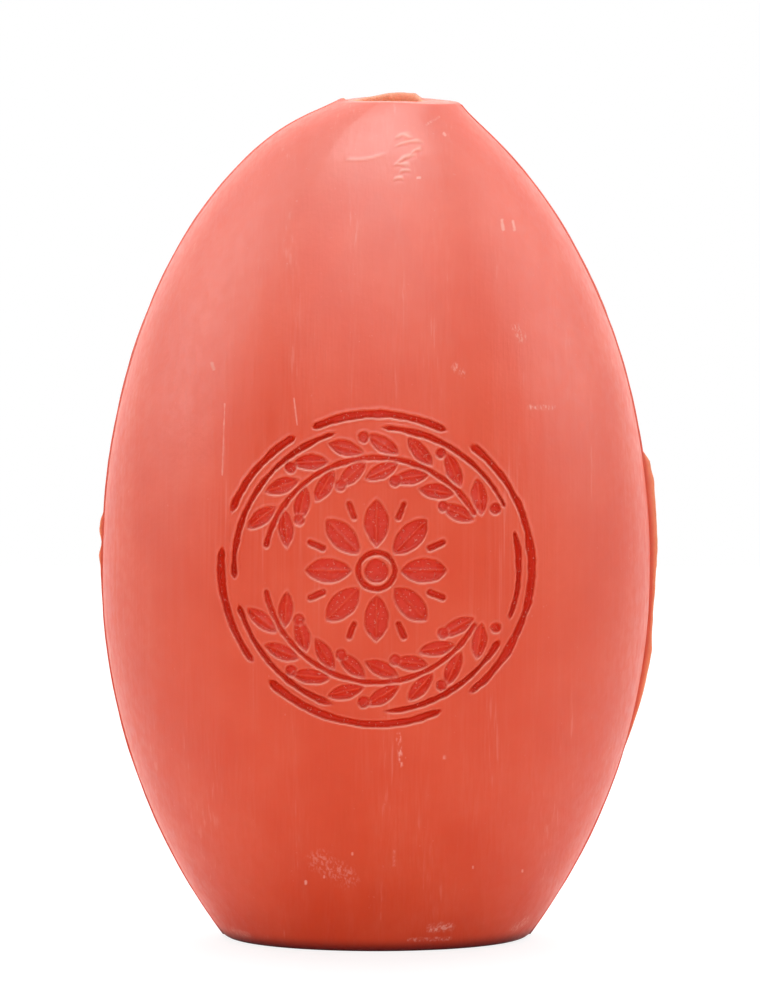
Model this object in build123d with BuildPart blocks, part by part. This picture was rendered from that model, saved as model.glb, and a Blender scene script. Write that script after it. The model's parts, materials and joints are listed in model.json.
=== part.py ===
from build123d import *
import os
from math import cos, radians, sin

# A rotary soap bar: an egg of hard pressed soap with a bore through its length, so that it slides
# on the rod of a wall holder and turns there. It is one piece. Two dies meet on the XZ plane and
# press it around a core pin: their joint leaves a thin flash line round the outline, and the front
# die stamps a round ornament into the belly. All sizes are in millimetres.
#
# Frame: the origin is on the bore's axis, in the plane of the base flat. +Z runs along the bore to
# the small tip, and the stamped side faces -Y.

# Overall form
body_length = 105.0  # from the base flat to the tip flat
belly_diameter = 68.8  # widest section
belly_height = 46.3  # height of the widest section above the base flat
base_flat_diameter = 38.0
tip_flat_diameter = 15.0
tip_slope = 27.0  # degrees between the flank and the level, where it meets the tip flat
belly_reach = 31.0  # how far up the belly's upright pull lasts
tip_reach = 15.0  # how far down the flank the tip's slope lasts
base_edge_radius = 1.2
tip_edge_radius = 0.8

# Bore for the holder's rod
bore_diameter = 8.0
bore_mouth_radius = 0.5

# Flash line where the dies meet, and the wider crescent that the trimming left on the +X side
flash_height = 0.25
flash_thickness = 0.8
remnant_height = 0.9
remnant_thickness = 0.5
remnant_foot = 22.0  # heights above the base flat
remnant_head = 61.0

# Stamped ornament: two rings, a wreath of two sprigs, and a rosette
stamp_height = 49.0  # of the ornament's centre above the base flat
ring_depth = 0.9
motif_depth = 0.65
outer_ring_radius = 19.3  # to the middle of the groove
outer_ring_width = 1.1
inner_ring_radius = 17.6
inner_ring_width = 0.55

wreath_foot = 180.0  # degrees from +X, so that the wreath opens towards +X
stem_radius = 13.9  # both sprigs follow this circle
stem_width = 0.5
stem_start = 12.0  # degrees from the foot of the wreath
stem_end = 150.0
leaf_pairs = 8  # on each sprig
first_pair = 0.7  # of a pair's share of the stem, from the stem's start
leaf_length = 4.4
leaf_width = 1.75
leaf_offset = 1.65  # from the stem's circle to the leaf's middle
leaf_lean = 28.0  # degrees between a leaf and its stem
olive_diameter = 1.25
olive_offset = 2.55  # from the stem's circle to the olive's middle

petal_count = 8
petal_length = 5.6
petal_width = 2.9
petal_middle_radius = 5.9
ray_length = 2.3  # one ray stands between each two petals
ray_width = 0.55
ray_middle_radius = 8.0
core_diameter = 2.8
core_ring_radius = 2.25
core_ring_width = 0.45


def half_outline(inset=0.0):
    """The face between the axis and the bar's flank, on the XZ plane, with the flank drawn inset
    towards the axis."""
    base_corner = (base_flat_diameter / 2 - inset, 0)
    belly = (belly_diameter / 2 - inset, belly_height)
    tip_corner = (tip_flat_diameter / 2 - inset, body_length)
    slope = radians(tip_slope)
    above_belly = (belly[0], belly_height + belly_reach)
    below_tip = (
        tip_corner[0] + tip_reach * cos(slope),
        tip_corner[1] - tip_reach * sin(slope),
    )
    with BuildSketch(Plane.XZ) as half:
        with BuildLine():
            Line((0, 0), base_corner)
            TangentArc(belly, base_corner, tangent=(0, -1))
            Bezier(belly, above_belly, below_tip, tip_corner)
            Line(tip_corner, (0, body_length))
            Line((0, body_length), (0, 0))
        make_face()
    return half.sketch


egg_outline = half_outline()
flash_outline = half_outline(inset=-flash_height)


def flank_point(height, outwards=0.0):
    """A point on the bar's flank on the +X side, or that much outside it."""
    level = Edge.make_line((0, 0, height), (belly_diameter, 0, height))
    across = egg_outline.face().intersect(level)[0]
    return (across.bounding_box().max.X + outwards, height)


def leaf(length, width):
    """A pointed leaf of two arcs, along X and centred on the origin."""
    with BuildSketch() as blade:
        with BuildLine():
            ThreePointArc((-length / 2, 0), (0, width / 2), (length / 2, 0))
            ThreePointArc((length / 2, 0), (0, -width / 2), (-length / 2, 0))
        make_face()
    return blade.sketch


def on_circle(radius, angle, turn=0.0):
    """A place on a circle, turned from the circle's tangent there."""
    at = radians(angle)
    return Location((radius * cos(at), radius * sin(at)), angle + 90 + turn)


def sprig():
    """One sprig of the wreath: a stem that climbs from the foot, leaves in pairs and an olive
    beside each pair, on one edge and then the other."""
    pair_share = (stem_end - stem_start) / leaf_pairs
    wreath_leaf = leaf(leaf_length, leaf_width)
    with BuildSketch() as drawing:
        stem = CenterArc(
            (0, 0), stem_radius, wreath_foot - stem_end, stem_end - stem_start, mode=Mode.PRIVATE
        )
        SlotArc(stem, stem_width)
        for pair in range(leaf_pairs):
            angle = wreath_foot - stem_start - pair_share * (pair + first_pair)
            for edge in (1, -1):
                place = on_circle(stem_radius + edge * leaf_offset, angle, -edge * leaf_lean)
                with Locations(place):
                    add(wreath_leaf)
            edge = 1 if pair % 2 else -1
            with Locations(on_circle(stem_radius + edge * olive_offset, angle - pair_share / 2)):
                Circle(olive_diameter / 2)
    return drawing.sketch


def stamped(drawing, depth):
    """The soap that a part of the die's relief displaces: its drawing pressed into the belly to an
    even depth."""
    core_outline = half_outline(inset=depth)
    with BuildPart() as core:
        add(core_outline)
        revolve(axis=Axis.Z)
    with BuildPart() as relief:
        extrude(drawing, amount=belly_diameter)
        add(core.part, mode=Mode.SUBTRACT)
    return relief.part


# The ornament's drawings lie on the joint of the dies and face the front
stamp_plane = Plane.XZ.shift_origin((0, 0, stamp_height))

with BuildSketch(stamp_plane) as rings:
    for radius, width in ((outer_ring_radius, outer_ring_width), (inner_ring_radius, inner_ring_width)):
        Circle(radius + width / 2)
        Circle(radius - width / 2, mode=Mode.SUBTRACT)

upper_sprig = sprig()
petal = leaf(petal_length, petal_width)
with BuildSketch(stamp_plane) as motifs:
    add(upper_sprig)
    mirror(about=Plane.XZ)
    with PolarLocations(petal_middle_radius, petal_count):
        add(petal)
    with PolarLocations(ray_middle_radius, petal_count, start_angle=180 / petal_count):
        SlotOverall(ray_length, ray_width)
    Circle(core_ring_radius + core_ring_width / 2)
    Circle(core_ring_radius - core_ring_width / 2, mode=Mode.SUBTRACT)
    Circle(core_diameter / 2)

ring_relief = stamped(rings.sketch, ring_depth)
motif_relief = stamped(motifs.sketch, motif_depth)

# The crescent that the trimming left, from its foot to its head
with BuildSketch(Plane.XZ) as remnant:
    with BuildLine():
        foot = flank_point(remnant_foot)
        middle = flank_point((remnant_foot + remnant_head) / 2, outwards=remnant_height)
        head = flank_point(remnant_head)
        ThreePointArc(foot, middle, head)
        Polyline(head, (0, remnant_head), (0, remnant_foot), foot)
    make_face()

# The flash is a plate through the bar that stands proud of the flank and ends level with the flats
with BuildPart() as flash:
    extrude(flash_outline, amount=flash_thickness / 2, both=True)
    mirror(about=Plane.YZ)
    extrude(remnant.sketch, amount=remnant_thickness / 2, both=True)

with BuildPart() as soap_bar:
    # The egg, with its two flats
    add(egg_outline)
    revolve(axis=Axis.Z)
    fillet(soap_bar.edges().group_by(Axis.Z)[0], radius=base_edge_radius)
    fillet(soap_bar.edges().group_by(Axis.Z)[-1], radius=tip_edge_radius)
    add(flash.part)
    # The bore, with a rounded mouth at each flat
    with Locations((0, 0, body_length)):
        Hole(bore_diameter / 2, depth=body_length)
    fillet(soap_bar.edges(Select.LAST).filter_by(GeomType.CIRCLE), radius=bore_mouth_radius)
    # The ornament that the front die stamps into the belly
    add(ring_relief, mode=Mode.SUBTRACT)
    add(motif_relief, mode=Mode.SUBTRACT)

soap_bar.part.label = "soap_bar"
os.makedirs("parts", exist_ok=True)
export_step(soap_bar.part, "parts/soap_bar.step")
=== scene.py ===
# %% [markdown]
# # A rotary soap bar
# The bar is an egg of hard pressed soap with a bore through its length, which slides on the rod of
# a wall holder. It is one piece, so the whole lesson is about one mesh and what its surface tells:
# how two dies pressed it, how the flash was trimmed, what the stamp left, and how it was handled.

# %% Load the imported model
import json
import math
import bmesh
import bpy
import numpy as np
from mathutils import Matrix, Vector, noise


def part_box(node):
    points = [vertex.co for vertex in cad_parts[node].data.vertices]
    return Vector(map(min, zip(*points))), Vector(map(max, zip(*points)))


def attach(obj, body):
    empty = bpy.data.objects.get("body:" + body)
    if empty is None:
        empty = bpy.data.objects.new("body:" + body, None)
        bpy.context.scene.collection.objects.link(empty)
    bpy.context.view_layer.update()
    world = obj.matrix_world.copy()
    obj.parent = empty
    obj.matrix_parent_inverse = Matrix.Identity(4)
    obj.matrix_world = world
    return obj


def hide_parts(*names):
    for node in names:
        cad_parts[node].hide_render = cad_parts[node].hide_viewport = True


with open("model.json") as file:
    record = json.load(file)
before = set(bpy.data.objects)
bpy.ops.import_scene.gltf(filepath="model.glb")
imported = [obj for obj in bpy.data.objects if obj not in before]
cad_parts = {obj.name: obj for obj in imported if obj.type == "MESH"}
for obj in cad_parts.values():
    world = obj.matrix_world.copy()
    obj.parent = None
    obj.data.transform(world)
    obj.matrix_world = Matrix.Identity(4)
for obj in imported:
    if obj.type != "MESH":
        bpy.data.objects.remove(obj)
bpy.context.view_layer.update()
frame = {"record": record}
low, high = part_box("soap_bar")
print("construction box in mm:", [round(1000 * side, 1) for side in high - low])

# %% [markdown]
# ## Sizes
# Blender works in metres here, and soap is easier to think of in millimetres, so every size is
# written times `mm`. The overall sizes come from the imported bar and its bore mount. The rest are the
# sizes that the bar was constructed with, so that the finished mesh lies on the same surface.

# %% Overall sizes
mm = 0.001
body_length = high.z - low.z
belly_radius = high.y
belly_height = 46.3 * mm
base_radius = 19.0 * mm
tip_radius = 7.5 * mm
tip_slope = math.radians(27.0)
belly_reach = 31.0 * mm
tip_reach = 15.0 * mm
base_edge_radius = 1.2 * mm
tip_edge_radius = 0.8 * mm
mouth_edge_radius = 0.5 * mm
bore = next(mount for mount in frame["record"]["mounts"] if mount["name"] == "bore")
bore_radius = bore["dims"]["r_mm"] * mm
print("belly radius", round(belly_radius / mm, 2), "mm, bore radius", bore_radius / mm, "mm")

# %% [markdown]
# ## The outline
# A die sinker draws such a bar as half an outline that is turned about the bore. Below the belly it
# is one arc, and above it one cubic curve that leaves the belly upright and meets the tip at a flat
# slope. Both are formulas, so the mesh can be made as fine as it needs to be, and every new vertex
# can be seated back on the true surface.

# %% The flank as two formulas
arc_width = belly_radius - base_radius
arc_radius = (arc_width**2 + belly_height**2) / (2 * arc_width)
curve = [
    np.array((belly_radius, belly_height)),
    np.array((belly_radius, belly_height + belly_reach)),
    np.array((
        tip_radius + tip_reach * math.cos(tip_slope),
        body_length - tip_reach * math.sin(tip_slope),
    )),
    np.array((tip_radius, body_length)),
]


def lower_flank(shares):
    """Points on the arc from the base's edge to the belly, as rows of radius and height."""
    sweep = math.asin(belly_height / arc_radius)
    angles = (np.asarray(shares) - 1) * sweep
    radii = belly_radius - arc_radius * (1 - np.cos(angles))
    return np.stack((radii, belly_height + arc_radius * np.sin(angles)), axis=1)


def upper_flank(shares):
    """Points on the cubic curve from the belly to the tip's edge, as rows of radius and height."""
    t = np.asarray(shares)[:, None]
    return (
        (1 - t) ** 3 * curve[0]
        + 3 * (1 - t) ** 2 * t * curve[1]
        + 3 * (1 - t) * t**2 * curve[2]
        + t**3 * curve[3]
    )


fine = np.linspace(0, 1, 1500)
flank = np.vstack((lower_flank(fine), upper_flank(fine[1:])))


def flank_radius(heights):
    """The bar's radius at each height."""
    return np.interp(heights, flank[:, 1], flank[:, 0])


print("radius 10 mm above the base:", round(float(flank_radius(10 * mm)) / mm, 2), "mm")

# %% [markdown]
# ## Turning the outline
# The bar could start from a stretched sphere, but a sphere's poles would have to be cut open for
# the bore. A closed half section, turned once round the axis with `spin`, gives the flank, both
# flats and the bore in one watertight skin, with rows of even quads that divide cleanly later.

# %% The half section
row_step = 1.28 * mm
turns = 168
length_along = np.concatenate(([0], np.cumsum(np.linalg.norm(np.diff(flank, axis=0), axis=1))))
row_count = round(length_along[-1] / row_step)
at = np.linspace(0, length_along[-1], row_count + 1)
flank_rows = np.stack((
    np.interp(at, length_along, flank[:, 0]),
    np.interp(at, length_along, flank[:, 1]),
), axis=1)


def spaced(start, end, step):
    """Even values from start to end, without either."""
    count = max(2, round(abs(end - start) / step))
    return np.linspace(start, end, count + 1)[1:-1]


section = [(bore_radius, 0.0)]
section += [(radius, 0.0) for radius in spaced(bore_radius, base_radius, 1.5 * mm)]
section += [tuple(point) for point in flank_rows]
section += [(radius, body_length) for radius in spaced(tip_radius, bore_radius, 1.2 * mm)]
section += [(bore_radius, body_length)]
section += [(bore_radius, height) for height in spaced(body_length, 0.0, 3.5 * mm)]
print("the half section has", len(section), "points")

# %% Spin it into a closed skin
body = bmesh.new()
ring = [body.verts.new((radius, 0, height)) for radius, height in section]
for one, other in zip(ring, ring[1:] + ring[:1]):
    body.edges.new((one, other))
bmesh.ops.spin(
    body,
    geom=body.verts[:] + body.edges[:],
    cent=(0, 0, 0),
    axis=(0, 0, 1),
    dvec=(0, 0, 0),
    angle=2 * math.pi,
    steps=turns,
    use_merge=True,
    use_duplicate=False,
)
bmesh.ops.remove_doubles(body, verts=body.verts[:], dist=0.001 * mm)
bmesh.ops.recalc_face_normals(body, faces=body.faces[:])
open_edges = sum(not edge.is_manifold for edge in body.edges)
print("turned skin:", len(body.faces), "faces,", open_edges, "open edges")

# %% [markdown]
# ## Rounded edges
# Soap never comes out of a die with a knife edge. Each of the four sharp rings is bevelled. A round
# of radius r that eases a turn of the surface by an angle starts r times the tangent of half that
# angle before the corner, which is the offset that `bevel` asks for.

# %% Bevel the four rings
base_turn = math.pi / 2 - math.atan2(
    flank_rows[1][0] - flank_rows[0][0], flank_rows[1][1] - flank_rows[0][1]
)


def round_ring(mesh, radius, height, edge_radius, turn, segments):
    """Rounds the sharp ring of that radius at that height."""
    close = 0.01 * mm

    def on_ring(vertex):
        from_ring = abs(math.hypot(vertex.co.x, vertex.co.y) - radius)
        return from_ring < close and abs(vertex.co.z - height) < close

    rings = [edge for edge in mesh.edges if all(on_ring(vertex) for vertex in edge.verts)]
    bmesh.ops.bevel(
        mesh,
        geom=rings,
        offset=edge_radius * math.tan(turn / 2),
        offset_type="OFFSET",
        affect="EDGES",
        segments=segments,
        profile=0.5,
        material=-1,
    )
    return len(rings)


quarter = math.pi / 2
for radius, height, edge_radius, turn, segments in (
    (base_radius, 0.0, base_edge_radius, base_turn, 5),
    (tip_radius, body_length, tip_edge_radius, tip_slope, 2),
    (bore_radius, 0.0, mouth_edge_radius, quarter, 3),
    (bore_radius, body_length, mouth_edge_radius, quarter, 3),
):
    print("rounded", round_ring(body, radius, height, edge_radius, turn, segments), "edges")

# %% [markdown]
# ## Cutting rows for the flash
# The dies meet on the plane of X and Z, and soap that crept between them stands proud there as a
# thin ridge. `bisect_plane` lays clean rows beside that plane, however the quads run, so the ridge
# gets upright sides. The thin rows are then divided along their length where the trimming tore.

# %% Rows beside the joint of the dies
flash_half = 0.4 * mm
fin_half = 0.25 * mm
flash_wall = 0.07 * mm
for offset in (flash_half, flash_half - flash_wall, fin_half, fin_half - flash_wall):
    for side in (-1, 1):
        bmesh.ops.bisect_plane(
            body,
            geom=body.verts[:] + body.edges[:] + body.faces[:],
            dist=0.0001 * mm,
            plane_co=(0, side * offset, 0),
            plane_no=(0, 1, 0),
        )
print("with the rows for the flash:", len(body.faces), "faces")


# %% Divide chosen edges
def refine(mesh, wanted, cuts=1):
    """Divides the edges whose middle is wanted, and seats the new vertices back on the flank."""
    edges = []
    for edge in mesh.edges:
        if wanted((edge.verts[0].co + edge.verts[1].co) / 2, edge):
            edges.append(edge)
    made = bmesh.ops.subdivide_edges(mesh, edges=edges, cuts=cuts, use_grid_fill=True)
    for vertex in made["geom_inner"]:
        if not isinstance(vertex, bmesh.types.BMVert):
            continue
        radius = math.hypot(vertex.co.x, vertex.co.y)
        true_radius = float(flank_radius(vertex.co.z))
        if 0 < vertex.co.z < body_length and abs(radius - true_radius) < 0.1 * mm:
            vertex.co.x *= true_radius / radius
            vertex.co.y *= true_radius / radius
    return len(edges)


def on_flash(point, edge):
    """Whether an upright edge lies on the joint of the dies, where the trimming tore."""
    upright = abs((edge.verts[0].co - edge.verts[1].co).z) > 0.4 * mm
    return upright and abs(point.y) < flash_half + 0.01 * mm and abs(point.x) > 9 * mm


print("divided", refine(body, on_flash, cuts=2), "edges of the flash")


# %% [markdown]
# ## Finer quads where the die stamped
# The stamp's lines are narrower than a millimetre, so the quads under it have to be a good deal
# smaller than elsewhere. Dividing the whole bar would cost millions of faces. Dividing only the
# edges inside a zone, pass after pass, keeps the grid even and lets its density step down outside.
# The folds near the tip, where a finger pinched the warm soap, get a zone of their own.

# %% Divide the stamped circle and the pinched place near the tip
stamp_height = 49.0 * mm
stamp_zone = 20.1 * mm
pinch_zone = ((3.2 * mm, 99.0 * mm), (8.0 * mm, 4.6 * mm))  # middle and half size, in X and Z
fold_zone = ((3.4 * mm, 99.2 * mm), (2.5 * mm, 3.2 * mm))


def on_front(point):
    """Whether a point lies on the front of the outer skin, and not in the bore."""
    return point.y < 0 and math.hypot(point.x, point.y) > 2 * bore_radius


def in_stamp(margin):
    """A test for edges within the stamped circle and a margin round it."""
    def wanted(point, edge):
        across = math.hypot(point.x, point.z - stamp_height)
        return on_front(point) and across < stamp_zone + margin
    return wanted


def in_zone(zone, margin):
    """A test for edges within an upright zone of the front and a margin round it."""
    middle, half = zone

    def wanted(point, edge):
        across = abs(point.x - middle[0]) < half[0] + margin
        along = abs(point.z - middle[1]) < half[1] + margin
        return across and along and on_front(point)
    return wanted


for margin in (1.6 * mm, 0.8 * mm, 0.1 * mm):
    refine(body, in_stamp(margin))
for margin in (1.5 * mm, 0.3 * mm):
    refine(body, in_zone(pinch_zone, margin))
refine(body, in_zone(fold_zone, 0.0))
print("refined skin:", len(body.faces), "faces")

# %% Seat every flank vertex on the true outline
edge_zone = 2.0 * mm
for vertex in body.verts:
    radius = math.hypot(vertex.co.x, vertex.co.y)
    on_flank = edge_zone < vertex.co.z < body_length - edge_zone and radius > 2 * bore_radius
    if on_flank:
        share = float(flank_radius(vertex.co.z)) / radius
        vertex.co.x *= share
        vertex.co.y *= share
soap_mesh = bpy.data.meshes.new("pressed_soap")
body.to_mesh(soap_mesh)
body.free()
soap_mesh.polygons.foreach_set("use_smooth", [True] * len(soap_mesh.polygons))
triangles = sum(len(face.vertices) - 2 for face in soap_mesh.polygons)
print("triangles:", triangles)

# %% [markdown]
# ## Pressing the stamp
# The ornament could be cut with booleans, but die pressed soap has no crisp walls: it flows, so the
# lines have eased edges, a faint lip and a floor that is deeper here and fainter there. A signed
# distance says how far each vertex lies from the edge of a line, negative inside it. From distances
# one rule gives every line its eased wall and its lip, and a little noise gives it its life. The
# rings were pressed unevenly, so they fade out in places and leave strokes.

# %% Sizes of the ornament
ring_depth = 0.9 * mm
motif_depth = 0.65 * mm
rings = ((19.2 * mm, 0.74 * mm), (17.6 * mm, 0.50 * mm))  # radius to the middle, and width
wreath_foot = 180.0  # degrees from +X, so that the wreath opens towards +X
stem_radius = 13.9 * mm
stem_width = 0.5 * mm
stem_start = 12.0
stem_end = 150.0
leaf_pairs = 8
first_pair = 0.7
leaf_size = (4.4 * mm, 1.75 * mm)
leaf_offset = 1.65 * mm
leaf_lean = 28.0
olive_radius = 0.625 * mm
olive_offset = 2.55 * mm
petal_count = 8
petal_size = (5.6 * mm, 2.9 * mm)
petal_middle = 5.9 * mm
ray_size = (2.3 * mm, 0.6 * mm)
ray_middle = 8.0 * mm
core_radius = 1.4 * mm
core_ring = (2.25 * mm, 0.5 * mm)
print("the ornament is", round(2 * (rings[0][0] + rings[0][1] / 2) / mm, 1), "mm across")


# %% Distances to the shapes that the ornament is drawn with
def placed(across, up, radius, angle, turn=0.0):
    """The points as seen from a place on a circle, along and across the circle's tangent there."""
    at = math.radians(angle)
    heading = math.radians(angle + 90 + turn)
    right = across - radius * math.cos(at)
    rise = up - radius * math.sin(at)
    along = right * math.cos(heading) + rise * math.sin(heading)
    return along, rise * math.cos(heading) - right * math.sin(heading)


def to_leaf(along, beside, size):
    """Distance to a pointed leaf of two arcs, of that length and width."""
    length, width = size
    arc = (length**2 + width**2) / (4 * width)
    return np.hypot(along, np.abs(beside) + arc - width / 2) - arc


def to_slot(along, beside, size):
    """Distance to a slot with round ends, of that overall length and width."""
    length, width = size
    return np.hypot(np.maximum(np.abs(along) - (length - width) / 2, 0), beside) - width / 2


def to_ring(across, up, ring):
    """Distance to a ring, given as the radius to its middle and its width."""
    radius, width = ring
    return np.abs(np.hypot(across, up) - radius) - width / 2


def ripple(points, size, seed=0.0):
    """Smooth noise from -1 to 1 at each point, with swells of that size."""
    shift = Vector((seed, 2.7 * seed, -1.3 * seed))
    return np.array([noise.noise(Vector(point) / size + shift) for point in points])


def ease(values):
    """Values clipped to 0 and 1 and eased in between."""
    share = np.clip(values, 0, 1)
    return share * share * (3 - 2 * share)


def bump(values, size):
    """A bell of height 1 and that half width around 0."""
    return np.exp(-((values / size) ** 2))


corner = np.array([leaf_size[0] / 2])
print("distance at a leaf's tip:", round(float(to_leaf(corner, 0 * corner, leaf_size)[0]) / mm, 3), "mm")


# %% The ornament as layers of distance, depth and ridges
def wreath_layers(across, up):
    """The wreath's layers. Its sprigs mirror each other, so one of them stands for both."""
    up = np.abs(up)
    pair_share = (stem_end - stem_start) / leaf_pairs
    turn_back = np.radians(wreath_foot) - np.arctan2(up, across)
    nearest = wreath_foot - np.degrees(turn_back).clip(stem_start, stem_end)
    stem_x = stem_radius * np.cos(np.radians(nearest))
    stem_y = stem_radius * np.sin(np.radians(nearest))
    layers = [(np.hypot(across - stem_x, up - stem_y) - stem_width / 2, motif_depth, None)]
    for pair in range(leaf_pairs):
        angle = wreath_foot - stem_start - pair_share * (pair + first_pair)
        for edge in (1, -1):
            along, beside = placed(
                across, up, stem_radius + edge * leaf_offset, angle, -edge * leaf_lean
            )
            layers.append((to_leaf(along, beside, leaf_size), motif_depth, beside))
        edge = 1 if pair % 2 else -1
        along, beside = placed(across, up, stem_radius + edge * olive_offset, angle - pair_share / 2)
        layers.append((np.hypot(along, beside) - olive_radius, motif_depth, None))
    return layers


def rosette_layers(across, up):
    """The rosette's layers. Its petals and rays repeat, so one of each stands for all."""
    step = 2 * math.pi / petal_count
    radius = np.hypot(across, up)
    angle = np.arctan2(up, across)
    from_petal = (angle + step / 2) % step - step / 2
    from_ray = angle % step - step / 2
    petal_along = radius * np.cos(from_petal) - petal_middle
    petal_beside = radius * np.sin(from_petal)
    ray_along = radius * np.cos(from_ray) - ray_middle
    ray_beside = radius * np.sin(from_ray)
    return [
        (to_leaf(petal_along, petal_beside, petal_size), motif_depth, petal_beside),
        (to_slot(ray_along, ray_beside, ray_size), motif_depth, None),
        (to_ring(across, up, core_ring), motif_depth, None),
        (radius - core_radius, motif_depth, None),
    ]


# %% Press the layers
wall = 0.24 * mm
lip_height = 0.11 * mm
rib_width = 0.15 * mm
rib_height = 0.4  # of the depth
ring_fades = (
    ((58, 7), (118, 5), (166, 9), (222, 6), (301, 8)),  # degrees from +X, and how far each reaches
    ((20, 6), (97, 12), (190, 7), (262, 14), (334, 6)),
)


def faded(across, up, fades):
    """How fully a ring was pressed, from 0 in its gaps to 1."""
    angle = np.degrees(np.arctan2(up, across))
    full = np.ones(len(across))
    for middle, reach in fades:
        away = np.abs((angle - middle + 180) % 360 - 180)
        full = np.minimum(full, ease((away - 0.6 * reach) / (0.5 * reach)))
    return full


def press(points):
    """How deep the stamp presses each point of the front, and how much lip it raises there."""
    across = points[:, 0]
    up = points[:, 2] - stamp_height
    wobble = 0.12 * mm * ripple(points, 1.7 * mm, 3.0) + 0.06 * mm * ripple(points, 0.6 * mm, 5.0)
    swell = 0.2 * mm * ripple(points, 4.5 * mm, 6.0)
    pressure = 1 + 0.35 * ripple(points, 11 * mm, 8.0)
    grain = 0.10 * mm * ripple(points, 0.4 * mm, 13.0) + 0.06 * mm * ripple(points, 0.9 * mm, 17.0)
    depth = np.zeros(len(points))
    lip = np.zeros(len(points))
    layers = [(*layer, None) for layer in wreath_layers(across, up) + rosette_layers(across, up)]
    for ring, fades in zip(rings, ring_fades):
        layers.append((to_ring(across, up, ring) + swell, ring_depth, None, faded(across, up, fades)))
    for distance, full_depth, rib, strength in layers:
        distance = distance + wobble
        if strength is not None:
            distance = distance + 0.35 * mm * (1 - strength)
            full_depth = full_depth * strength
        inside = ease(0.5 - distance / wall)
        pressed = full_depth * pressure * inside
        if rib is not None:
            pressed *= 1 - rib_height * bump(rib, rib_width)
        pressed += grain * inside * (distance < 0)
        depth = np.maximum(depth, pressed)
        rim = bump(distance - 0.19 * mm, 0.12 * mm)
        lip = np.maximum(lip, lip_height * rim * (1 if strength is None else strength))
    return depth, lip * (1 - depth / ring_depth).clip(0, 1)


count = len(soap_mesh.vertices)
skin = np.empty(3 * count)
soap_mesh.vertices.foreach_get("co", skin)
skin = skin.reshape(-1, 3)
normals = np.empty(3 * count)
soap_mesh.vertex_normals.foreach_get("vector", normals)
normals = normals.reshape(-1, 3)
heights = skin[:, 2]
radii = np.hypot(skin[:, 0], skin[:, 1])
outer = radii > 2 * bore_radius
front = outer & (skin[:, 1] < 0)
stamped = front & (np.hypot(skin[:, 0], heights - stamp_height) < stamp_zone + 0.2 * mm)
depth, lip = press(skin[stamped])
pressed_share = np.zeros(count)
pressed_share[stamped] = (depth / motif_depth).clip(0, 1)
# Painted highlight: the stamp's lips are painted paler, most below their lines, where light from above
# falls on them.
wear_and_highlight = np.zeros(count)
below_groove = 0.35 * mm
lip_highlight = 0.75
groove_above, _ = press(skin[stamped] + (0, 0, below_groove))
lit_lip_side = 0.15 + 0.85 * (groove_above / motif_depth).clip(0, 1)  # painted highlight: a lip is paler below its line, where the light from above falls on it
wear_and_highlight[stamped] = (lip / lip_height).clip(0, 1) * lit_lip_side * lip_highlight
print("pressed up to", round(float(depth.max()) / mm, 2), "mm deep")

# %% [markdown]
# ## What pressing and handling did to the form
# A real bar is never the drawing. Its flanks are faintly wavy, a finger pinched the warm soap into
# folds near the tip, the tip leans a little to one side, the flash is uneven where it was trimmed,
# and the rim of the bore is torn where the core pin drew out. Each of these is a small formula that
# moves vertices, so that it shows from every side and stays in the mesh wherever it is used.

# %% Waves and the stamp
shape = skin.copy()
above_base = ease((heights - 0.5 * mm) / (3 * mm))
waves = 0.08 * mm * ripple(skin, 16 * mm, 21.0) + 0.025 * mm * ripple(skin, 5 * mm, 22.0)
shape += normals * (waves * outer * above_base)[:, None]
facing = -normals[stamped, 1]
shape[stamped, 1] += (depth - lip) / facing
print("waves up to", round(float(np.abs(waves).max()) / mm, 3), "mm")

# %% The pinched folds and the ridge of a scratch
fold_height = 0.08 * mm
fold_width = 0.2 * mm
folds = (  # X and Z of the middle, half length, and how far the fold climbs along its length
    (2.7, 101.6, 1.2, 0.0),
    (3.5, 100.8, 1.8, 0.1),
    (4.5, 99.9, 0.7, 0.35),
    (3.3, 99.1, 1.2, 0.3),
    (2.8, 98.3, 1.1, 0.0),
    (3.2, 97.5, 0.8, 0.15),
    (2.5, 96.7, 0.7, 0.0),
)
scratch_start = (-4.4 * mm, 98.8 * mm)
scratch_end = (1.2 * mm, 99.7 * mm)
scratch_sag = 0.35 * mm
scratch_width = 0.17 * mm
scratch_height = 0.1 * mm
near_pinch = front & (np.abs(heights - pinch_zone[0][1]) < 6 * mm) & (np.abs(skin[:, 0]) < 12 * mm)
pinch_points = skin[near_pinch]
wander = 0.25 * mm * ripple(pinch_points, 1.1 * mm, 51.0)
raised = np.zeros(len(pinch_points))
crest = np.zeros(len(pinch_points))
for fold_x, fold_z, half_length, climb in folds:
    along = (pinch_points[:, 0] - fold_x * mm + 0.5 * wander) / (half_length * mm)
    beside = pinch_points[:, 2] - fold_z * mm + wander
    beside = beside - climb * along * half_length * mm + 0.25 * mm * along**2
    reach = ease((1.15 - np.abs(along)) / 0.7)
    top = bump(beside, fold_width) * reach
    raised += fold_height * (top - 0.9 * bump(beside + 1.6 * fold_width, fold_width) * reach)
    crest = np.maximum(crest, top)
scratch_share = (pinch_points[:, 0] - scratch_start[0]) / (scratch_end[0] - scratch_start[0])
scratch_z = np.interp(scratch_share, (0, 1), (scratch_start[1], scratch_end[1]))
scratch_z = scratch_z - scratch_sag * np.sin(math.pi * scratch_share.clip(0, 1))
scratch_reach = ease(scratch_share / 0.1) * ease((1 - scratch_share) / 0.3)
scratch = bump(pinch_points[:, 2] - scratch_z, scratch_width) * scratch_reach
shape[near_pinch] += normals[near_pinch] * (raised + scratch_height * scratch)[:, None]
# Painted highlight on the folds' crests, and pale wear on the scratch's ridge.
wear_and_highlight[near_pinch] = np.maximum(wear_and_highlight[near_pinch], np.maximum(0.8 * crest, 0.55 * scratch))
print("folds:", len(folds), "up to", round(float(raised.max()) / mm, 2), "mm high")

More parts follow.
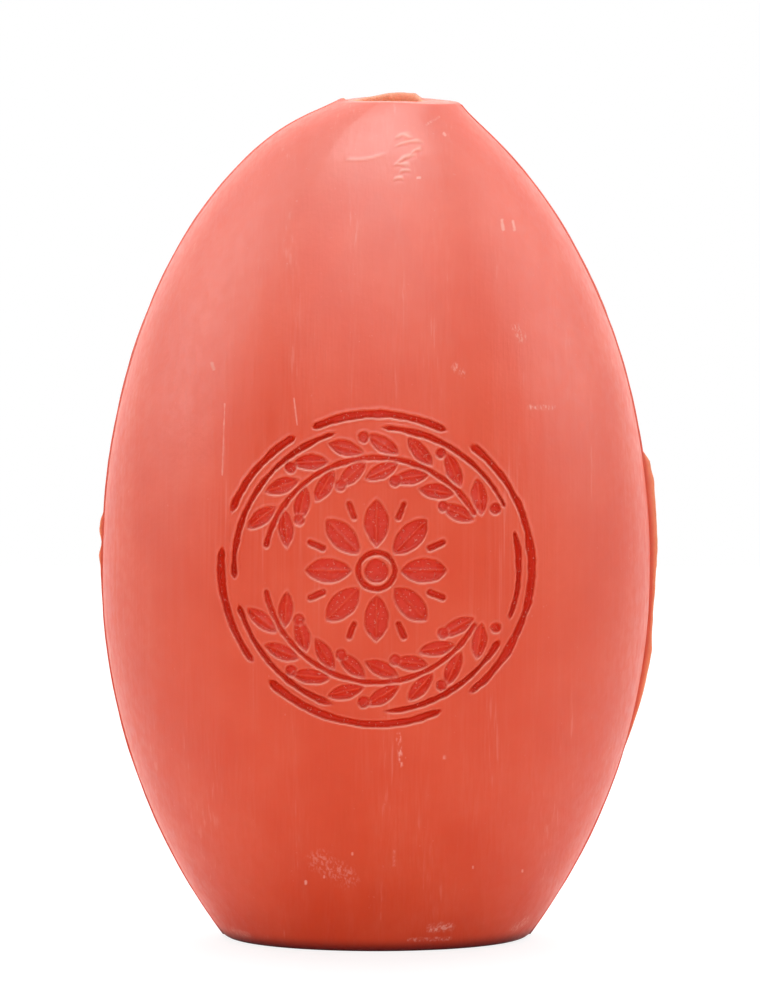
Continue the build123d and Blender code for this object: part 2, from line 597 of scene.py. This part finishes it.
# %% The flash, its torn fin and two burrs
flash_height = 0.22 * mm
fin_stations = (  # height above the base and how far the fin stands out, in millimetres
    (22.5, 0.0),
    (28.0, 0.42),
    (31.5, 0.62),
    (36.2, 0.80),
    (38.6, 0.50),
    (41.5, 0.42),
    (49.0, 0.78),
    (57.5, 0.95),
    (60.0, 0.70),
    (61.3, 0.0),
)
burr_stations = (
    (40.0, 0.0),
    (44.0, 0.12),
    (46.6, 0.16),
    (48.2, 0.42),
    (49.4, 0.14),
    (49.9, 0.14),
    (51.2, 0.45),
    (52.6, 0.36),
    (53.6, 0.0),
)
true_radius = flank_radius(heights)
on_skin = outer & (radii > true_radius - 0.25 * mm)
close = 0.01 * mm
ridge = on_skin & (np.abs(skin[:, 1]) < flash_half - flash_wall + close)
fin = on_skin & (np.abs(skin[:, 1]) < fin_half - flash_wall + close)
sides = np.sign(skin[:, 0])


def along_flash(size, seed):
    """Noise that changes only along the joint of the dies, the same across its thickness."""
    values = np.zeros(count)
    places = np.stack((3 * sides[ridge] * size, 0 * sides[ridge], heights[ridge]), axis=1)
    values[ridge] = ripple(places, size, seed)
    return values


def station_rise(stations):
    """How far the torn soap stands out at each height, from a few stations."""
    station_heights, rises = np.array(stations).T * mm
    return np.interp(heights, station_heights, rises)


flash_rise = flash_height * (1 + 0.3 * along_flash(6 * mm, 31.0) + 0.15 * along_flash(1.8 * mm, 32.0))
jag = 1 + 0.10 * along_flash(3.0 * mm, 33.0) + 0.07 * along_flash(1.0 * mm, 34.0)
torn_rise = np.where(sides > 0, station_rise(fin_stations), station_rise(burr_stations)) * jag
shape[ridge, 0] = (sides * (true_radius + flash_rise))[ridge]
shape[fin, 0] += (sides * np.maximum(torn_rise - 0.08 * mm, 0))[fin]
torn = np.zeros(count)
torn[fin] = ease(torn_rise[fin] / (0.25 * mm))
print("the fin stands out", round(float((flash_rise + torn_rise)[fin].max()) / mm, 2), "mm")

# %% The tip leans, its flat is domed, and the bore's rim is torn
rim_lean = 2.4 * mm
tip_lean = 0.45 * mm
bore_drift = 1.5 * mm
dome_height = 0.45 * mm
nib_height = 0.4 * mm
torn_lip_height = 0.7 * mm
from_tip = body_length - heights
lean = rim_lean * np.exp(-from_tip / (1.8 * mm)) + tip_lean * ease(1 - from_tip / (21 * mm))
mouth_outside = bore_radius + mouth_edge_radius
outwards = ease((radii - mouth_outside) / (tip_radius - mouth_outside))
shape[:, 0] += bore_drift * ease(1 - from_tip / (30 * mm)) * (1 - outwards) + lean * outwards
near_tip = ease(1 - from_tip / (3.5 * mm))
shape[:, 2] += dome_height * bump(shape[:, 0] - 1.0 * mm, 6.0 * mm) * near_tip
nib = bump(skin[:, 0] + tip_radius - 0.5 * mm, 0.9 * mm) * bump(skin[:, 1], 1.1 * mm)
shape[:, 2] += nib_height * nib * near_tip
mouth = (radii < bore_radius + 1.5 * mm) & (from_tip < 0.6 * mm)
lip_left = ease((shape[:, 0] + 2.4 * mm) / (6.0 * mm))
lip_right = ease((6.0 * mm - shape[:, 0]) / (1.2 * mm))
behind = ease((shape[:, 1] - 0.4 * mm) / (1.8 * mm))
rim = bump(radii - bore_radius - 0.45 * mm, 0.55 * mm)
ragged = 1 + 0.15 * ripple(skin, 1.6 * mm, 41.0)
lip_rise = torn_lip_height * lip_left * lip_right * behind * rim * ragged * mouth
shape[:, 2] += lip_rise
torn = np.maximum(torn, 0.18 * ease(lip_rise / (0.2 * mm)))
# The bore's wall takes the torn colour, which paints the glow of light inside the bore.
torn = np.maximum(torn, ((radii < mouth_outside) & (heights > 1 * mm)).astype(float))
print("the torn lip rises", round(float(lip_rise.max()) / mm, 2), "mm")

# %% Write the shape and its masks into the mesh
soap_mesh.vertices.foreach_set("co", shape.ravel())
masks = {"pressed": pressed_share, "wear_and_highlight": wear_and_highlight, "torn": torn}
for name, values in masks.items():
    layer = soap_mesh.attributes.new(name, "FLOAT", "POINT")
    layer.data.foreach_set("value", values.astype(np.float32))
soap_mesh.update()
soap = bpy.data.objects.new("pressed_soap", soap_mesh)
bpy.context.scene.collection.objects.link(soap)
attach(soap, "root")
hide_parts("soap_bar")
print("masks:", [layer.name for layer in soap_mesh.attributes if layer.name in masks])

# %% [markdown]
# ## Small tools for materials
# A material is a tree of nodes, and most of this soap's nodes are arithmetic on a position. A few
# helpers keep each step to one line: `feed` links a socket or sets a plain value, and the others add
# one node and hand back its output. Positions are taken in millimetres, so that every size in the
# trees below can be read as it would be measured on the bar.

# %% Helpers that add one node each
def feed(tree, source, socket):
    """Links a node's output to a socket, or sets the socket to a plain value."""
    if isinstance(source, bpy.types.NodeSocket):
        tree.links.new(source, socket)
    else:
        socket.default_value = source


def calculate(tree, operation, *sources, clamp=False):
    """One step of arithmetic on numbers."""
    node = tree.nodes.new("ShaderNodeMath")
    node.operation = operation
    node.use_clamp = clamp
    for source, socket in zip(sources, node.inputs):
        feed(tree, source, socket)
    return node.outputs["Value"]


def calculate_vector(tree, operation, *sources):
    """One step of arithmetic on vectors."""
    node = tree.nodes.new("ShaderNodeVectorMath")
    node.operation = operation
    for source, socket in zip(sources, node.inputs):
        feed(tree, source, socket)
    single = operation in ("DOT_PRODUCT", "LENGTH", "DISTANCE")
    return node.outputs["Value" if single else "Vector"]


def cloud(tree, position, scale, detail=2.0):
    """Noise around a half, with the given number of swells to a unit of the position."""
    node = tree.nodes.new("ShaderNodeTexNoise")
    feed(tree, position, node.inputs["Vector"])
    feed(tree, scale, node.inputs["Scale"])
    node.inputs["Detail"].default_value = detail
    return node.outputs["Fac"]


def spread(tree, x, y, z):
    """A vector from three numbers."""
    node = tree.nodes.new("ShaderNodeCombineXYZ")
    for source, socket in zip((x, y, z), node.inputs):
        feed(tree, source, socket)
    return node.outputs["Vector"]


def remap(tree, value, start, end, low=0.0, high=1.0):
    """Eases a value from low at the start to high at the end."""
    node = tree.nodes.new("ShaderNodeMapRange")
    node.interpolation_type = "SMOOTHSTEP"
    for source, name in ((value, "Value"), (start, "From Min"), (end, "From Max"),
                         (low, "To Min"), (high, "To Max")):
        feed(tree, source, node.inputs[name])
    return node.outputs["Result"]


def tint(tree, share, base, other, kind="MIX"):
    """Mixes two colours."""
    node = tree.nodes.new("ShaderNodeMix")
    node.data_type = "RGBA"
    node.blend_type = kind
    sockets = {socket.identifier: socket for socket in node.inputs}
    feed(tree, share, sockets["Factor_Float"])
    feed(tree, base, sockets["A_Color"])
    feed(tree, other, sockets["B_Color"])
    return next(socket for socket in node.outputs if socket.identifier == "Result_Color")


def new_group(name, inputs, output):
    """An empty node group with named inputs and one number as its output."""
    group = bpy.data.node_groups.new(name, "ShaderNodeTree")
    for label, kind in inputs:
        group.interface.new_socket(label, in_out="INPUT", socket_type="NodeSocket" + kind)
    group.interface.new_socket(output, in_out="OUTPUT", socket_type="NodeSocketFloat")
    entrance = group.nodes.new("NodeGroupInput")
    leave = group.nodes.new("NodeGroupOutput")
    return group, entrance.outputs, leave.inputs[output]


def place_group(tree, group, **values):
    """Places a group in a material, with its own values, and hands back its output."""
    node = tree.nodes.new("ShaderNodeGroup")
    node.node_tree = group
    for name, value in values.items():
        feed(tree, value, node.inputs[name.replace("_", " ")])
    return node.outputs[0]


print("node helpers are ready")

# %% [markdown]
# ## Streaks, stipple and scuffs
# Three effects tell how the surface came about. The bar slid out of the dies and was wiped, so the
# whole skin has fine upright streaks. Where the die's face was etched, and where dust settled, it is
# stippled with specks. And each knock left a scuff: a short stroke of pale, broken specks. Each one
# is a group with named inputs, so that it can be placed many times at other sizes. The scuff takes
# its noise as inputs, because noise is the slow part and all scuffs can share it.

# %% The streaks
streaks, given, result = new_group(
    "upright_streaks", (("Position", "Vector"), ("Width", "Float"), ("Stretch", "Float")), "Streak"
)
depth_share = 0.2  # depth counts for little, so the streaks stay upright as the flank turns away
squeeze = spread(streaks, 1.0, depth_share, calculate(streaks, "DIVIDE", 1.0, given["Stretch"]))
stretched = calculate_vector(streaks, "MULTIPLY", given["Position"], squeeze)
swells = calculate(streaks, "DIVIDE", 1.0, given["Width"])
feed(streaks, remap(streaks, cloud(streaks, stretched, swells, 2.0), 0.3, 0.7), result)
print(streaks.name, "has", len(streaks.nodes), "nodes")

# %% The stipple
stipple, given, result = new_group(
    "stipple", (("Position", "Vector"), ("Size", "Float"), ("Share", "Float")), "Speck"
)
swells = calculate(stipple, "DIVIDE", 1.0, given["Size"])
grain = cloud(stipple, given["Position"], swells, 1.0)
threshold = calculate(stipple, "SUBTRACT", 0.72, calculate(stipple, "MULTIPLY", given["Share"], 0.3))
softer = calculate(stipple, "ADD", threshold, 0.08)
feed(stipple, remap(stipple, grain, threshold, softer), result)
print(stipple.name, "has", len(stipple.nodes), "nodes")

# %% The scuff
scuff, given, result = new_group(
    "scuff",
    (
        ("Position", "Vector"),
        ("Start", "Vector"),
        ("End", "Vector"),
        ("Reach", "Float"),
        ("Ragged", "Float"),
        ("Specks", "Float"),
        ("Broken", "Float"),
        ("Strength", "Float"),
    ),
    "Mark",
)
upright = calculate_vector(scuff, "MULTIPLY", given["Position"], (1.0, 0.0, 1.0))
stroke = calculate_vector(scuff, "SUBTRACT", given["End"], given["Start"])
from_start = calculate_vector(scuff, "SUBTRACT", upright, given["Start"])
length_squared = calculate_vector(scuff, "DOT_PRODUCT", stroke, stroke)
reached = calculate_vector(scuff, "DOT_PRODUCT", from_start, stroke)
share = calculate(scuff, "DIVIDE", reached, length_squared, clamp=True)
nearest = calculate_vector(scuff, "MULTIPLY", stroke, spread(scuff, share, share, share))
away = calculate_vector(scuff, "DISTANCE", from_start, nearest)
ragged = calculate(scuff, "SUBTRACT", given["Ragged"], 0.5)
away = calculate(scuff, "MULTIPLY_ADD", ragged, given["Reach"], away)
near = remap(scuff, away, given["Reach"], calculate(scuff, "MULTIPLY", given["Reach"], 0.1))
unbroken = calculate(scuff, "SUBTRACT", 1.0, given["Broken"])
covered = calculate(scuff, "MULTIPLY_ADD", given["Specks"], given["Broken"], unbroken)
mark = calculate(scuff, "MULTIPLY", calculate(scuff, "MULTIPLY", near, covered), given["Strength"])
apart = scuff.nodes.new("ShaderNodeSeparateXYZ")
feed(scuff, given["Position"], apart.inputs["Vector"])
facing_front = calculate(scuff, "LESS_THAN", apart.outputs["Y"], 0.0)
feed(scuff, calculate(scuff, "MULTIPLY", mark, facing_front), result)
print(scuff.name, "has", len(scuff.nodes), "nodes")

# %% [markdown]
# ## The soap
# Hard pressed soap is a dense, slightly translucent wax: a deep coral through and through, satin
# where the die polished it, matt and paler where it was rubbed and scratched, and granular where the
# flash tore. The colour also carries painted light: a painted highlight on the stamp's lips and the
# folds' crests, painted shade in the stamped lines and at the foot, and a painted orange glow on the
# torn flash and in the bore. One material holds it all, and the mesh's own masks say where each
# state begins, so the same tree dresses every side.

# %% Colours, and where the bar was scuffed
coral = (0.695, 0.061, 0.013, 1)
coral_deep = (0.675, 0.053, 0.009, 1)
coral_light = (0.715, 0.073, 0.021, 1)
# painted shade for the stamped lines
painted_groove_shade_red = (0.640, 0.022, 0.001, 1)
# pale pink for wiped streaks, specks and wear, and for painted highlight
wear_and_highlight_pink = (0.850, 0.330, 0.250, 1)
scuffed_pink = (0.880, 0.420, 0.340, 1)
# orange of torn soap, lightened as a painted glow of light through thin soap
torn_and_glow_orange = (0.860, 0.300, 0.140, 1)
# painted shade for the foot, where the bar stands in its own shade
painted_foot_shade_red = (0.180, 0.004, 0.002, 1)
scuffs = (  # start and end as X and Z, and reach, in millimetres; how broken and how strong, 0 to 1
    ((15.6, 91.2), (15.8, 90.1), 0.30, 0.2, 0.80),
    ((17.0, 91.0), (17.2, 90.0), 0.26, 0.2, 0.70),
    ((17.3, 78.2), (18.1, 77.0), 0.80, 1.0, 0.60),
    ((9.7, 73.8), (10.7, 73.0), 0.70, 1.0, 0.50),
    ((-20.4, 73.8), (-20.2, 73.1), 0.30, 0.3, 0.60),
    ((19.0, 68.6), (21.9, 68.4), 0.45, 0.9, 0.60),
    ((2.8, 28.4), (3.0, 24.6), 0.45, 1.0, 0.60),
    ((8.4, 25.6), (8.4, 25.4), 0.30, 0.5, 0.45),
    ((-8.8, 9.3), (-8.8, 9.0), 0.24, 0.0, 0.75),
    ((-6.5, 10.1), (-6.5, 9.9), 0.20, 0.0, 0.50),
    ((-3.0, 13.2), (-3.0, 13.0), 0.20, 0.0, 0.50),
    ((-7.0, 12.0), (-3.6, 10.0), 2.00, 1.0, 0.34),
    ((6.8, 3.0), (9.2, 3.2), 0.85, 0.9, 0.75),
    ((4.0, 1.6), (9.1, 1.5), 0.40, 0.9, 0.60),
    ((17.3, 2.0), (19.0, 3.0), 0.90, 0.8, 0.60),
    ((-18.1, 1.6), (-16.2, 1.2), 0.70, 0.7, 0.55),
    ((18.2, 10.1), (18.2, 9.9), 0.20, 0.0, 0.60),
    ((12.0, 11.1), (12.0, 10.9), 0.18, 0.0, 0.55),
    ((2.2, 13.4), (2.2, 11.6), 0.30, 0.8, 0.40),
    ((6.2, 102.8), (7.8, 103.6), 0.20, 0.8, 0.35),
    ((8.4, 101.7), (8.6, 101.5), 0.24, 0.2, 0.60),
    ((5.1, 96.6), (5.4, 96.6), 0.24, 0.0, 0.70),
    ((-18.8, 69.0), (-19.1, 60.3), 0.16, 0.4, 0.45),
    ((-10.2, 70.0), (-9.8, 66.8), 0.16, 0.3, 0.50),
)
print("scuffs:", len(scuffs))

# %% The masks
soap_material = bpy.data.materials.new("pressed_soap_skin")
soap_material.use_nodes = True
tree = soap_material.node_tree
shader = tree.nodes["Principled BSDF"]
coordinates = tree.nodes.new("ShaderNodeTexCoord")
position = calculate_vector(tree, "MULTIPLY", coordinates.outputs["Object"], (1000.0, 1000.0, 1000.0))


def mesh_mask(name):
    """One of the mesh's own masks, as a number."""
    node = tree.nodes.new("ShaderNodeAttribute")
    node.attribute_name = name
    return node.outputs["Fac"]


pressed_mask = mesh_mask("pressed")
wear_and_highlight_mask = mesh_mask("wear_and_highlight")
torn_mask = mesh_mask("torn")
patches = remap(tree, cloud(tree, position, 0.09, 2.0), 0.3, 0.7)
mottle = remap(tree, cloud(tree, position, 0.7, 2.0), 0.3, 0.7)
fine_streaks = place_group(tree, streaks, Position=position, Width=0.32, Stretch=60.0)
broad_streaks = place_group(tree, streaks, Position=position, Width=2.4, Stretch=14.0)
hair_lines = remap(tree, calculate(tree, "MULTIPLY", fine_streaks, broad_streaks), 0.75, 1.0)
specks = place_group(tree, stipple, Position=position, Size=0.32, Share=0.25)
dust = place_group(tree, stipple, Position=position, Size=0.6, Share=-0.1)
ragged = cloud(tree, position, 1.3, 2.0)
drawn_out = calculate_vector(tree, "MULTIPLY", position, (1.0, 1.0, 0.45))
crumbs = cloud(tree, drawn_out, 3.2, 3.0)
broken_up = remap(tree, crumbs, 0.44, 0.68)
marks = 0.0
for start, end, reach, broken, strength in scuffs:
    mark = place_group(
        tree, scuff, Position=position, Start=(start[0], 0, start[1]), End=(end[0], 0, end[1]),
        Reach=reach, Ragged=ragged, Specks=broken_up, Broken=broken, Strength=strength,
    )
    marks = calculate(tree, "MAXIMUM", marks, mark)
apart = tree.nodes.new("ShaderNodeSeparateXYZ")
feed(tree, position, apart.inputs["Vector"])
from_axis = calculate_vector(tree, "LENGTH", spread(tree, apart.outputs["X"], apart.outputs["Y"], 0.0))
from_rim = calculate(tree, "ABSOLUTE", calculate(tree, "SUBTRACT", from_axis, base_radius / mm))
# Painted shade: the colour darkens low down near the base's rim, where the bar shades the floor and
# itself.
painted_foot_shade_height = 2.4
painted_foot_shade_reach = 3.5
low_down = remap(tree, apart.outputs["Z"], painted_foot_shade_height, 0.1)
painted_foot_shade = calculate(tree, "MULTIPLY", remap(tree, from_rim, painted_foot_shade_reach, painted_foot_shade_reach - 1), low_down)
painted_foot_shade = calculate(tree, "MULTIPLY", painted_foot_shade, low_down)
print("the masks take", len(tree.nodes), "nodes")

# %% The colour
streak_strength = 0.06
hair_strength = 0.10
dust_strength = 0.12
fleck_strength = 0.5
colour = tint(tree, patches, coral_deep, coral_light)
colour = tint(tree, calculate(tree, "MULTIPLY", mottle, 0.35), colour, coral)
both_streaks = calculate(tree, "MULTIPLY", fine_streaks, broad_streaks)
colour = tint(tree, calculate(tree, "MULTIPLY", both_streaks, streak_strength), colour, wear_and_highlight_pink)
colour = tint(tree, calculate(tree, "MULTIPLY", hair_lines, hair_strength), colour, scuffed_pink)
colour = tint(tree, calculate(tree, "MULTIPLY", dust, dust_strength), colour, scuffed_pink)
# Painted shade: the stamped lines are darker the deeper they are pressed.
colour = tint(tree, pressed_mask, colour, painted_groove_shade_red)
flecks = calculate(tree, "MULTIPLY", specks, pressed_mask)
colour = tint(tree, calculate(tree, "MULTIPLY", flecks, fleck_strength), colour, wear_and_highlight_pink)
# painted highlight on the lips and crests, and pale wear on the scratch
colour = tint(tree, wear_and_highlight_mask, colour, wear_and_highlight_pink)
colour = tint(tree, marks, colour, scuffed_pink)
# Torn soap is granular; its orange is partly a painted glow of light through the thin fin and in the
# bore.
colour = tint(tree, torn_mask, colour, torn_and_glow_orange)
# painted shade at the foot
colour = tint(tree, painted_foot_shade, colour, painted_foot_shade_red)
feed(tree, colour, shader.inputs["Base Color"])
print("colour from", coral[:3], "to", painted_groove_shade_red[:3], "where it is stamped")

# %% The gloss and the fine relief, whose heights are in millimetres
roughness = calculate(tree, "MULTIPLY_ADD", mottle, 0.08, 0.36)
roughness = calculate(tree, "MULTIPLY_ADD", fine_streaks, 0.06, roughness)
for mask, rougher in ((marks, 0.3), (wear_and_highlight_mask, 0.1), (pressed_mask, 0.12), (torn_mask, 0.25)):
    roughness = calculate(tree, "MULTIPLY_ADD", mask, rougher, roughness)
feed(tree, roughness, shader.inputs["Roughness"])
relief = calculate(tree, "MULTIPLY", fine_streaks, 0.006)
relief = calculate(tree, "MULTIPLY_ADD", broad_streaks, 0.02, relief)
relief = calculate(tree, "MULTIPLY_ADD", ragged, 0.02, relief)
relief = calculate(tree, "MULTIPLY_ADD", calculate(tree, "MULTIPLY", crumbs, torn_mask), 0.18, relief)
relief = calculate(tree, "MULTIPLY_ADD", flecks, 0.06, relief)
bumps = tree.nodes.new("ShaderNodeBump")
bumps.inputs["Strength"].default_value = 1.0
bumps.inputs["Distance"].default_value = mm
feed(tree, relief, bumps.inputs["Height"])
feed(tree, bumps.outputs["Normal"], shader.inputs["Normal"])
shader.inputs["IOR"].default_value = 1.5
shader.inputs["Specular IOR Level"].default_value = 0.42
shader.inputs["Subsurface Weight"].default_value = 0.3
shader.inputs["Subsurface Radius"].default_value = (1.0, 0.3, 0.15)
shader.inputs["Subsurface Scale"].default_value = 0.9 * mm
soap_mesh.materials.append(soap_material)
print(soap_material.name, "has", len(tree.nodes), "nodes")

# %% [markdown]
# ## The floor and the world
# The bar stands on a plain white sweep. To the camera the floor adds a glow of its own, so that it
# reads as white while it still shows the soft contact shadow; towards its edge the glow takes over
# and the floor runs into the white of the world without a horizon. Mirror rays see that white too,
# less of it near the bar, where the bar shades the floor. Only the light that the world casts on
# things is held lower, so that it doesn't wash out the soap.

# %% The floor
floor_reach = 0.55
floor_maker = bmesh.new()
bmesh.ops.create_circle(floor_maker, cap_ends=True, segments=96, radius=floor_reach)
floor_mesh = bpy.data.meshes.new("floor")
floor_maker.to_mesh(floor_mesh)
floor_maker.free()
floor = bpy.data.objects.new("floor", floor_mesh)
bpy.context.scene.collection.objects.link(floor)
floor_material = bpy.data.materials.new("pale_floor")
floor_material.use_nodes = True
tree = floor_material.node_tree
floor_shader = tree.nodes["Principled BSDF"]
floor_shader.inputs["Roughness"].default_value = 0.8
coordinates = tree.nodes.new("ShaderNodeTexCoord")
grain = cloud(tree, coordinates.outputs["Object"], 60.0, 2.0)
pale_grey = (0.72, 0.72, 0.72, 1)
paler_grey = (0.76, 0.76, 0.76, 1)
feed(tree, tint(tree, grain, pale_grey, paler_grey), floor_shader.inputs["Base Color"])
glow = tree.nodes.new("ShaderNodeEmission")
glow.inputs["Color"].default_value = (1, 1, 1, 1)
glow.inputs["Strength"].default_value = 1.15
outwards = calculate_vector(tree, "LENGTH", coordinates.outputs["Object"])
glow_share = remap(tree, outwards, 0.06, 0.5 * floor_reach, 0.72, 1.0)
mirrored_share = remap(tree, outwards, 0.03, 0.5 * floor_reach, 0.0, 0.7)
path = tree.nodes.new("ShaderNodeLightPath")
straight = calculate(tree, "MAXIMUM", path.outputs["Is Camera Ray"], path.outputs["Is Transmission Ray"])
seen_glow = calculate(tree, "MULTIPLY", glow_share, straight)
mirrored_glow = calculate(tree, "MULTIPLY", mirrored_share, path.outputs["Is Glossy Ray"])
glow_share = calculate(tree, "MAXIMUM", seen_glow, mirrored_glow)
floor_mix = tree.nodes.new("ShaderNodeMixShader")
feed(tree, glow_share, floor_mix.inputs["Fac"])
feed(tree, floor_shader.outputs["BSDF"], floor_mix.inputs[1])
feed(tree, glow.outputs["Emission"], floor_mix.inputs[2])
feed(tree, floor_mix.outputs["Shader"], tree.nodes["Material Output"].inputs["Surface"])
floor_mesh.materials.append(floor_material)
print("the floor is", 2 * floor_reach, "m across")

# %% The world
world = bpy.data.worlds.new("white_studio")
world.use_nodes = True
bpy.context.scene.world = world
tree = world.node_tree
fill = tree.nodes["Background"]
fill.inputs["Color"].default_value = (1, 1, 1, 1)
fill.inputs["Strength"].default_value = 0.51
seen = tree.nodes.new("ShaderNodeBackground")
seen.inputs["Color"].default_value = (1, 1, 1, 1)
seen.inputs["Strength"].default_value = 1.0
path = tree.nodes.new("ShaderNodeLightPath")
direct = calculate(tree, "MAXIMUM", path.outputs["Is Camera Ray"], path.outputs["Is Glossy Ray"])
direct = calculate(tree, "MAXIMUM", direct, path.outputs["Is Transmission Ray"])
world_mix = tree.nodes.new("ShaderNodeMixShader")
feed(tree, direct, world_mix.inputs["Fac"])
feed(tree, fill.outputs["Background"], world_mix.inputs[1])
feed(tree, seen.outputs["Background"], world_mix.inputs[2])
feed(tree, world_mix.outputs["Shader"], tree.nodes["World Output"].inputs["Surface"])
print("the world fills with", fill.inputs["Strength"].default_value)

# %% [markdown]
# ## The lamps
# Soap shows its satin only when something bright stands where it mirrors, and lamps that light a
# surface well aren't always where its mirror looks. So the two jobs are parted. A small softbox
# overhead, a wide one behind and a wide fill near the camera light the bar, and the last two are
# hidden from mirror rays, so that they leave no hot spot. Five more are seen by mirror rays alone:
# they lay the pale sheen on the shoulders, the sides and the far edge.

# %% Softboxes
def softbox(name, place, aim, size, power):
    """A rectangular lamp at a place, turned to face a point."""
    lamp = bpy.data.lights.new(name, "AREA")
    lamp.shape = "RECTANGLE"
    lamp.size, lamp.size_y = size
    lamp.energy = power
    holder = bpy.data.objects.new(name, lamp)
    holder.location = place
    holder.rotation_euler = (Vector(aim) - Vector(place)).to_track_quat("-Z", "Y").to_euler()
    bpy.context.scene.collection.objects.link(holder)
    radiance = power / (math.pi * size[0] * size[1])
    print(name, "shines at", round(radiance, 2), "W per square metre and steradian")
    return holder


middle = (0, 0, body_length / 2)
softbox("overhead", (0, 0.10, 0.75), middle, (0.60, 0.50), 1.8)
backlight = softbox("backlight", (0, 1.00, 0.55), middle, (2.20, 1.10), 37.0)
backlight.visible_glossy = False
front_fill = softbox("front_fill", (0, -1.60, 0.15), middle, (1.60, 1.00), 10.6)
front_fill.visible_glossy = False
for name, place, size, power in (
    ("sheen_above", (0, 0.10, 0.75), (0.60, 0.50), 10.5),
    ("sheen_in_front", (0, -0.45, 0.70), (1.00, 0.60), 6.8),
    ("sheen_behind", (0, 1.00, 0.50), (2.20, 1.10), 4.8),
    ("sheen_on_the_left", (-0.90, 0.10, 0.60), (0.90, 0.90), 10.0),
    ("sheen_on_the_right", (0.90, 0.10, 0.60), (0.90, 0.90), 9.4),
):
    sheen = softbox(name, place, middle, size, power)
    sheen.visible_diffuse = False

# %% [markdown]
# ## The camera
# The bar is seen from the front with a long lens, from a little above, so that the far rim of the
# tip's flat shows and the base reads as a shallow curve.

# %% Camera
camera_distance = 1.9
camera_height = 208 * mm
aim_height = 55 * mm
beside_axis = 0.44 * mm
camera_data = bpy.data.cameras.new("camera")
camera_data.lens = 546.0
camera_data.sensor_width = 36.0
camera_data.clip_start = 0.05
camera_data.clip_end = 30.0
camera = bpy.data.objects.new("camera", camera_data)
camera.location = (beside_axis, -camera_distance, camera_height)
aim = Vector((beside_axis, 0, aim_height))
camera.rotation_euler = (aim - camera.location).to_track_quat("-Z", "Y").to_euler()
bpy.context.scene.collection.objects.link(camera)
bpy.context.scene.camera = camera
bpy.context.scene.view_settings.view_transform = "Standard"
print("the camera is", round((aim - camera.location).length, 2), "m away")
